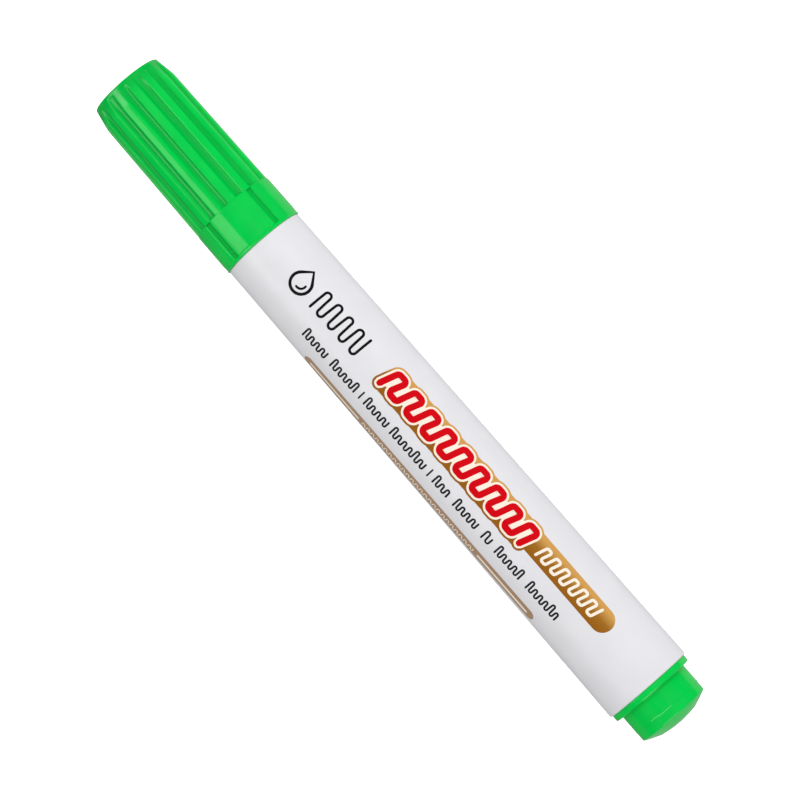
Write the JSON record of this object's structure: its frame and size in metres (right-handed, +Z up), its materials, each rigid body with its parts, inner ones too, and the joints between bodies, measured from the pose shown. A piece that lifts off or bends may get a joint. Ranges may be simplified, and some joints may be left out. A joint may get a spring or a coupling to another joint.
{
  "type": "whiteboard marker",
  "caption": "Capped whiteboard marker: ribbed cap with a padded collar, tapered barrel and tail plug; the cap pulls off a felt bullet nib.",
  "frame": {"origin": "on the marker's axis, half-way along its overall length, which is the centre of its box", "axes": "the marker lies along X with its cap end at -X and its tail plug at +X; +Z is up, and the middle of the printed side faces +Z"},
  "size_m": [0.14, 0.0162, 0.0162],
  "materials": {
    "green_plastic": "satin moulded, bright green",
    "white_plastic": "satin moulded, opaque white",
    "holder_plastic": "satin moulded, opaque white",
    "liner_plastic": "natural, slightly translucent",
    "nib_fibre": "bonded felt, soaked with green ink",
    "reservoir_fibre": "bonded fibre, soaked with green ink",
    "reservoir_film": "thin clear wrap",
    "red_ink": "screen-printed ink",
    "gold_ink": "screen-printed ink, graded",
    "cream_ink": "screen-printed ink",
    "black_ink": "screen-printed ink"
  },
  "bodies": {
    "pen": {"barrel": "white_plastic", "nib_holder": "holder_plastic", "nib": "nib_fibre", "reservoir_core": "reservoir_fibre", "reservoir_film": "reservoir_film", "tail_plug": "green_plastic"},
    "cap": {"cap_shell": "green_plastic", "inner_cap": "liner_plastic"}
  },
  "joints": [
    {"name": "cap_pull", "type": "slide", "parent": "pen", "child": "cap", "axis": [-1, 0, 0], "range_m": [0, 0.045]}
  ]
}
